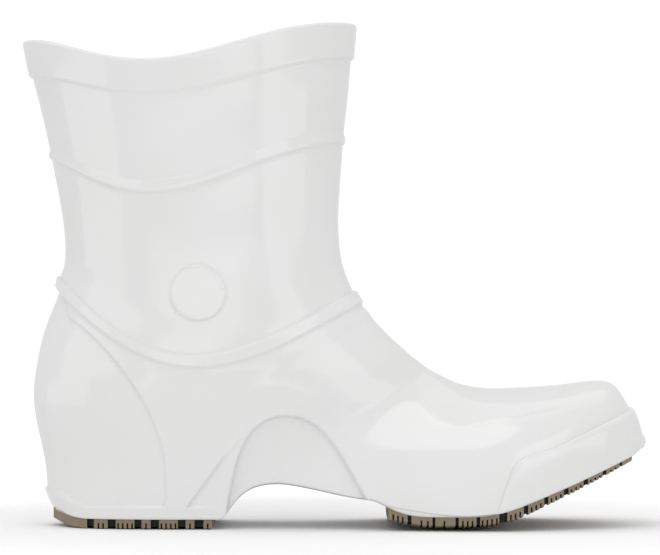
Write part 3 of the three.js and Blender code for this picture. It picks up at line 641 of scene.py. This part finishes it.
LINING_GAP = 0.1                               # to the inside of the wall
ARCH_CLEAR, ARCH_CLEAR_EDGE = 3.9, 6           # how far the lining stands in at the arch recess


def lining_points(points, gap):
    """Points of the plain form moved in by the wall and this gap, and further at the arch recess."""
    s, t = points[:, 0], points[:, 1]
    wall = SHAFT_WALL + (FOOT_WALL - SHAFT_WALL) * ease((s - 6) / 6)
    sunk = ARCH_CLEAR * (1 - ease(arch_edge(form(s, t)) / ARCH_CLEAR_EDGE))
    return form(s, t) - outward(s, t) * (wall + sunk + gap)[:, None]


# Polyester yarn, weft knitted: an off-white, quite matt cloth with fine upright wales crossed by rows of
# stitches. Real stitches are about 1 mm, and they are drawn two to three times as coarse so that they show.
WALE, COURSE = 2.0, 2.9                        # mm from one to the next
BANDS = math.pi / 10 * 1000                    # a wave texture of scale 1 has a band every pi / 10 metres
white_knit, place = blank_material("white_polyester_knit")
wales = add_node(white_knit, "ShaderNodeTexWave", {"Scale": BANDS / WALE, "Distortion": 1.5, "Detail": 1.0},
                 {"Vector": place}, bands_direction="X")
courses = add_node(white_knit, "ShaderNodeTexWave", {"Scale": BANDS / COURSE, "Distortion": 1.5, "Detail": 1.0},
                   {"Vector": place}, bands_direction="Z")
stitches = add_node(white_knit, "ShaderNodeMath", links={0: wales.outputs["Fac"], 1: courses.outputs["Fac"]},
                    operation="MULTIPLY")
yarn = ramp(white_knit, stitches.outputs["Value"], "#BDBDBA", "#DADAD7")
ridges = add_node(white_knit, "ShaderNodeBump", {"Strength": 0.6, "Distance": 0.0003},
                  {"Height": stitches.outputs["Value"]})
knit = add_node(white_knit, "ShaderNodeBsdfPrincipled", {"Roughness": 0.9, "IOR": 1.5},
                {"Base Color": yarn, "Normal": ridges.outputs["Normal"]})
add_node(white_knit, "ShaderNodeOutputMaterial", links={"Surface": knit.outputs["BSDF"]})

LINING_TOP, LINING_RINGS, LINING_TURNS = 5.5, 150, 97
lining_sheet, lining_faces = sheet(np.linspace(station_below(0, LINING_TOP), LAST + 0.9, LINING_RINGS),
                                   np.linspace(0, 1, LINING_TURNS))

# The top of the sole unit inside the boot
platform_line = trace(
    (-25, 36), [(3, 36)], [(19, 36), (33, 16), (48, 14.4)],
    [(54, 14.4), (58.5, 17.2), (63.8, 23.6)], [(86, 51.4)],
)


def over_platform(points):
    """Height of the lining's points over the platform."""
    made = lining_points(points, LINING_GAP)
    return made[:, 2] - np.interp(made[:, 0], platform_line[:, 0], platform_line[:, 1])


LINING_FOOT, FELT_RIM = 0.3, 3.4               # over the platform: where the lining and the insole's edge end
lining_sheet, lining_faces = split(lining_sheet, lining_faces, over_platform, [LINING_FOOT, FELT_RIM])
over = over_platform(lining_sheet)
lining = piece("lining", lining_points(lining_sheet, LINING_GAP),
               lining_faces[over[lining_faces].mean(1) > LINING_FOOT][:, ::-1], [white_knit])
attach(lining, "root")


# INSOLE
# A loose sheet of needled felt on foam that lies on the platform of the sole.

# Polyester felt, needle punched: a dull light grey with a short tangled nap that never shines.
FIBRE_TUFT = 1.1                               # mm across
grey_felt, place = blank_material("grey_needled_felt")
fibres = noise(grey_felt, place, FIBRE_TUFT, 4.0, 0.7).outputs["Fac"]
tint = ramp(grey_felt, fibres, "#A9A9A5", "#D2D2CE")
nap = add_node(grey_felt, "ShaderNodeBump", {"Strength": 0.7, "Distance": 0.0004}, {"Height": fibres})
felt = add_node(grey_felt, "ShaderNodeBsdfPrincipled", {"Roughness": 0.95, "IOR": 1.45},
                {"Base Color": tint, "Normal": nap.outputs["Normal"]})
add_node(grey_felt, "ShaderNodeOutputMaterial", links={"Surface": felt.outputs["BSDF"]})


MIDDLE_Y = 1.5                                 # the sole's middle swings a little to the inner side


def edge_of(line, side, inset):
    """y of an outline as a function of x, evened out and moved in by an inset. side is -1 outside, 1 inside."""
    line = line[(line[:, 1] - MIDDLE_Y) * side > 0]
    line = line[np.argsort(line[:, 0])]
    x = np.linspace(line[0, 0], line[-1, 0], 600)
    y = np.interp(x, line[:, 0], line[:, 1])
    reach = 4
    y = np.convolve(np.pad(y, reach, mode="edge"), np.ones(2 * reach + 1) / (2 * reach + 1), mode="valid")
    slope = np.gradient(y, x)
    size = np.hypot(1, slope)
    moved_x, moved_y = x + side * slope / size * inset, y - side / size * inset
    order = np.argsort(moved_x)
    return lambda at: np.interp(at, moved_x[order], moved_y[order])


def loft(rings):
    """A closed body through rings with the same number of points, with flat ends."""
    rings = np.array(rings)
    m, n = rings.shape[:2]
    i, k = np.meshgrid(np.arange(n), np.arange(m - 1), indexing="ij")
    a, b = (k * n + i).ravel(), (k * n + (i + 1) % n).ravel()
    quads = np.concatenate([np.stack([a, a + n, b + n], 1), np.stack([a, b + n, b], 1)])
    fan = np.arange(1, n - 1)
    first = np.stack([np.zeros(n - 2, int), fan, fan + 1], 1)
    return rings.reshape(-1, 3), np.concatenate([quads, first, first[:, ::-1] + (m - 1) * n])


def slab(x0, x1, low, high, top, foot, chamfer, step=2.0):
    """A slab across the boot from x0 to x1, between low(x) and high(x), with its lower edges broken."""
    inner = np.linspace(x0 + chamfer, x1 - chamfer, max(2, round((x1 - x0) / step) + 1))
    rings = []
    for x, raised in [(x0, chamfer), *((x, 0.0) for x in inner), (x1, chamfer)]:
        left, right = high(x), low(x)
        across = np.linspace(left - chamfer, right + chamfer, 9)
        ring = [(x, left, top(x, left)), (x, left, foot(x, left) + chamfer)]
        ring += [(x, y, foot(x, y) + raised) for y in across]
        rings.append(ring + [(x, right, foot(x, right) + chamfer), (x, right, top(x, right))])
    return loft(np.array(rings, float))


FELT, FELT_GAP = 3.0, 0.6
rim_of_felt = lining_points(lining_sheet, FELT_GAP)[np.abs(over - FELT_RIM) < 0.05]
felt_low, felt_high = edge_of(rim_of_felt[:, :2], -1, 0), edge_of(rim_of_felt[:, :2], 1, 0)


def platform(x, y):
    """Height of the insole's underside."""
    return np.interp(x, platform_line[:, 0], platform_line[:, 1]) + 0.1


insole_body = slab(rim_of_felt[:, 0].min() + 0.5, rim_of_felt[:, 0].max() - 0.5, felt_low, felt_high,
                   lambda x, y: platform(x, y) + FELT, platform, 0.5)
insole = piece("insole_sheet", *insole_body, [grey_felt])
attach(insole, "root")
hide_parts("insole")


# TREADS
# Brown rubber lugs under heel and ball, with fine slots that grip wet floors, moulded in one piece and set into
# a shallow pocket of the white sole. Between the lugs and in their slots lies a near-black sheet, which is
# painted shade for the dark gaps.

# Crumb-filled rubber, vulcanised in a sand-blasted mould: a dull mid brown, faintly mottled by the filler, with
# a dry grainy skin and only a broad weak sheen.
FILLER = 6.7                                   # mm from one patch to the next
brown_rubber, place = blank_material("brown_vulcanised_rubber")
mottle = noise(brown_rubber, place, FILLER, 4.0, 0.6).outputs["Fac"]
earth = ramp(brown_rubber, mottle, "#786B58", "#8E8069")
grain = add_node(brown_rubber, "ShaderNodeBump", {"Strength": 0.4, "Distance": 0.0001}, {"Height": mottle})
tread_shader = add_node(brown_rubber, "ShaderNodeBsdfPrincipled", {"Roughness": 0.62, "IOR": 1.52},
                  {"Base Color": earth, "Normal": grain.outputs["Normal"]})
add_node(brown_rubber, "ShaderNodeOutputMaterial", links={"Surface": tread_shader.outputs["BSDF"]})

# Painted shade: a matt, slightly brownish near-black sheet that stands for the shade in the gaps between the
# lugs and in their slots, with faint patches.
GAP_SHADE_PATCH = 4.5                                    # mm across: faint patches in the painted shade
gap_shade_material, place = blank_material("painted_gap_shade_black")
gap_shade_patches = noise(gap_shade_material, place, GAP_SHADE_PATCH, 3.0, 0.6)
gap_shade_tone = ramp(gap_shade_material, gap_shade_patches.outputs["Fac"], "#0F0D0A", "#1B1813")
tread_shader = add_node(gap_shade_material, "ShaderNodeBsdfPrincipled",
                  {"Roughness": 0.75, "IOR": 1.52, "Specular IOR Level": 0.3}, {"Base Color": gap_shade_tone})
add_node(gap_shade_material, "ShaderNodeOutputMaterial", links={"Surface": tread_shader.outputs["BSDF"]})


sole_rim = skin[np.abs(clearance) < 0.05][:, :2]

# The lugs' feet along the boot, and how far they rise at the sole's edges: x and rise in millimetres
ground_line = trace(
    (-25, 5.5), [(-15.9, 4.4)], [(-13.2, 0.9), (-9.6, 0)], [(36, 0)], [(38.6, 3.4)], [(42, 1.3), (44.5, 0)],
    [(52, 0)], [(57, 0), (60, 4.4), (63.8, 9.9)],
    [(78.8, 31.2)], [(81, 35.6)], [(86, 48)],
)
EDGE_RISE = [(-20, 0.6), (40, 0.6), (113, 4.2), (122, 4.4), (134, 3.8), (150, 3.4), (160, 3.2), (175, 1.8),
             (200, 0.6)]


def ground(x, y):
    """Height of the lugs' feet: flat on the floor under heel and ball, and up towards the toe and the edges."""
    level = np.interp(x, ground_line[:, 0], ground_line[:, 1])
    return level + np.interp(x, *zip(*EDGE_RISE)) * edge_share(x, y)


def bodies_together(bodies):
    """One list of points and one of faces for all the bodies."""
    points, faces, start = [], [], 0
    for body_points, body_faces in bodies:
        points.append(body_points)
        faces.append(body_faces + start)
        start += len(body_points)
    return np.concatenate(points), np.concatenate(faces)


SLOT, SLOT_PITCH, SLOT_ROOT = 0.8, 2.2, 0.36   # the root is the share of a lug that no slot cuts
CHANNEL, LUG_COLUMN, NARROWEST = 3.4, 23.4, 9
LUG_INSET, WEB_INSET = 0.5, 1.4
WEB_RECESS = 0.2                               # how far the web stops short of the lugs' feet, as a share
BED = 0.3                                      # how far lugs and web reach into the white sole
low_edge, high_edge = edge_of(sole_rim, -1, LUG_INSET), edge_of(sole_rim, 1, LUG_INSET)
web_low, web_high = edge_of(sole_rim, -1, WEB_INSET), edge_of(sole_rim, 1, WEB_INSET)


def bed(x, y):
    """Where the lugs and the web start."""
    return underside(x, y) + BED


def root(x, y):
    """Where the slots stop."""
    return underside(x, y) - (underside(x, y) - ground(x, y)) * SLOT_ROOT


def web_foot(x, y):
    """Where the web ends."""
    return ground(x, y) + WEB_RECESS * (underside(x, y) - ground(x, y))


def columns_of(x0, x1, number):
    """Lugs side by side in one row, in a brick pattern, with no sliver at either edge."""
    x = (x0 + x1) / 2
    left, right = low_edge(x), high_edge(x)
    cuts = [(k + (number % 2) / 2) * LUG_COLUMN for k in range(-3, 4)]
    cuts = [c for c in cuts if left + NARROWEST < c < right - NARROWEST]
    edges = [None] + [c for cut in cuts for c in (cut - CHANNEL / 2, cut + CHANNEL / 2)] + [None]
    for start, end in zip(edges[::2], edges[1::2]):
        yield (low_edge if start is None else (lambda at, v=start: v),
               high_edge if end is None else (lambda at, v=end: v))


def lugs(lug_rows):
    """lug_rows: where each row starts and ends, and x of its slots."""
    bodies = []
    for number, (x0, x1, slots) in enumerate(lug_rows):
        for low, high in columns_of(x0, x1, number):
            bodies.append(slab(x0, x1, low, high, bed, lambda x, y: root(x, y) - 0.2, 0.05))
            cuts = [x0] + [c for slot in slots for c in (slot - SLOT / 2, slot + SLOT / 2)] + [x1]
            for start, end in zip(cuts[::2], cuts[1::2]):
                bodies.append(slab(start, end, low, high, root, ground, 0.25))
    return bodies_together(bodies)


def even_slots(x0, x1, count):
    """x of this many slots in the middle of a row."""
    return [(x0 + x1) / 2 + (k - (count - 1) / 2) * SLOT_PITCH for k in range(count)]


# Where each row of lugs starts and ends, and its slots: their number, or x of each
heel_rows = [(-44.6, -27.2, []), (-23.9, -17.3, 2), (-13.5, -4.7, 4), (-1.4, 2.9, 1), (6.8, 15.6, 4),
             (19.2, 23.3, 1), (27.5, 31.5, 1)]
forefoot_rows = [(113.6, 122.4, 3), (124.2, 133.9, [128.8, 131.8]), (135.2, 144.5, [139.4]),
                 (146.0, 154.2, 3), (155.9, 164.7, 4), (168.4, 176.1, 3), (178.2, 185.8, 3),
                 (187.7, 195.2, 3), (197.4, 204.6, 3), (206.7, 213.8, 3), (215.6, 222.2, 2), (223.4, 228.6, [])]
for name, lug_rows in (("heel", heel_rows), ("forefoot", forefoot_rows)):
    lug_rows = [(a, b, even_slots(a, b, s) if isinstance(s, int) else s) for a, b, s in lug_rows]
    tread = piece(name + "_lugs", *lugs(lug_rows), [brown_rubber], crease=25)
    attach(tread, "root")
    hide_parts(name + "_tread")
    # The near-black web is painted shade: it fills the gaps between the lugs and shows in their slots.
    web = slab(lug_rows[0][0] + 0.8, lug_rows[-1][1] - 0.6, web_low, web_high, bed, web_foot, 0.1)
    gap_shade_sheet = piece(name + "_web", *web, [gap_shade_material], crease=25)
    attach(gap_shade_sheet, "root")
    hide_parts(name + "_tread_web")


# STAGE
# A pale studio floor, soft boxes to both sides and above, and a long lens at the height of the boot's middle.

# Uncoated background paper, smooth from the roll: an even matt white with hardly any tooth. It runs out into
# the white surround a short way from the boot.
PAPER_TOOTH = 3.0                              # mm across, far coarser than real
FADE_START, FADE_END = 0.17, 0.28              # metres from the middle of the boot
studio_floor, place = blank_material("white_paper_sweep")
ring = add_node(studio_floor, "ShaderNodeVectorMath", {1: (0.09, 0.0, 0.0)}, {0: place}, operation="DISTANCE")
fade = add_node(studio_floor, "ShaderNodeMapRange", {"From Min": FADE_START, "From Max": FADE_END},
                {"Value": ring.outputs["Value"]}, interpolation_type="SMOOTHSTEP")
tooth = noise(studio_floor, place, PAPER_TOOTH, 2.0, 0.5)
sheet_tone = ramp(studio_floor, tooth.outputs["Fac"], "#F5F5F5", "#F8F8F8")
paper = add_node(studio_floor, "ShaderNodeBsdfPrincipled", {"Roughness": 0.9}, {"Base Color": sheet_tone})
clear = add_node(studio_floor, "ShaderNodeBsdfTransparent")
swept = add_node(studio_floor, "ShaderNodeMixShader",
                 links={0: fade.outputs["Result"], 1: paper.outputs["BSDF"], 2: clear.outputs["BSDF"]})
add_node(studio_floor, "ShaderNodeOutputMaterial", links={"Surface": swept.outputs["Shader"]})
mesh = bpy.data.meshes.new("studio_floor")
FLOOR = 6                                      # metres from the middle to an edge
corners = [(-FLOOR, -FLOOR, 0), (FLOOR, -FLOOR, 0), (FLOOR, FLOOR, 0), (-FLOOR, FLOOR, 0)]
mesh.from_pydata(corners, [], [(0, 1, 2, 3)])
mesh.materials.append(studio_floor)
floor = bpy.data.objects.new("studio_floor", mesh)
bpy.context.scene.collection.objects.link(floor)

# The boot stands in an even white surround, whose far side behind it is lit a little more
SURROUND, BACKDROP = 0.80, 1.05
world = bpy.data.worlds.new("white_studio")
bpy.context.scene.world = world
world.use_nodes = True
surround = world.node_tree.nodes["Background"]
surround.inputs["Color"].default_value = (1, 1, 1, 1)
seen = world.node_tree.nodes.new("ShaderNodeLightPath")
level = world.node_tree.nodes.new("ShaderNodeMapRange")
level.inputs["To Min"].default_value = SURROUND
level.inputs["To Max"].default_value = BACKDROP
world.node_tree.links.new(seen.outputs["Is Camera Ray"], level.inputs["Value"])
world.node_tree.links.new(level.outputs["Result"], surround.inputs["Strength"])

bpy.context.scene.view_settings.view_transform = "Standard"


SET_X = 0.06                                   # the boxes stand round this place


def soft_box(name, azimuth, distance, middle, width, tall, power):
    """An upright soft box that faces the boot, in metres and watts. Azimuth is in degrees from the camera's
    side towards the toe, and middle is the height of the box's middle."""
    light = bpy.data.lights.new(name, "AREA")
    light.shape = "RECTANGLE"
    light.size, light.size_y = width, tall
    light.energy = power
    made = bpy.data.objects.new(name, light)
    a = math.radians(azimuth)
    made.location = (SET_X + math.sin(a) * distance, -math.cos(a) * distance, middle)
    made.rotation_euler = (math.pi / 2, 0, a)
    made.visible_camera = False
    bpy.context.scene.collection.objects.link(made)
    return made


soft_box("right_low_soft_box", 55, 0.6, 0.06, 0.39, 0.12, 0.13)
soft_box("right_soft_box", 38, 0.6, 0.25, 0.27, 0.26, 0.22)
soft_box("left_low_soft_box", -71, 0.6, 0.05, 0.50, 0.10, 0.12)
soft_box("left_soft_box", -52, 0.6, 0.18, 0.50, 0.16, 0.2)

# A low card fills the shade from the front without a reflection of its own, and a card that lies on the table
# in front shows in the flare of the shaft. Two boxes over the boot face straight down.
front_card = soft_box("front_low_card", 6, 1.25, 0.015, 2.0, 0.23, 1.3)
front_card.visible_glossy = False
table_card = soft_box("table_card", 3, 1.2, 0.004, 0.95, 0.82, 2.75)
table_card.rotation_euler = (math.pi, 0, 0)
top_box = soft_box("top_soft_box", -15, 0.49, 1.1, 0.54, 0.76, 1.7)
top_box.data.shape = "ELLIPSE"
top_box.rotation_euler = (0, 0, 0)
rear_box = soft_box("rear_top_soft_box", 180, 0.25, 1.2, 1.6, 0.9, 2.6)
rear_box.rotation_euler = (0, 0, 0)

# The lens looks straight along +Y, at half the boot's height
camera_data = bpy.data.cameras.new("long_lens")
camera_data.sensor_width = 36
camera_data.lens = 195.05
camera = bpy.data.objects.new("long_lens", camera_data)
camera.location = (0.0865, -1.7, 0.1175)
camera.rotation_euler = (math.pi / 2, 0, 0)
bpy.context.scene.collection.objects.link(camera)
bpy.context.scene.camera = camera
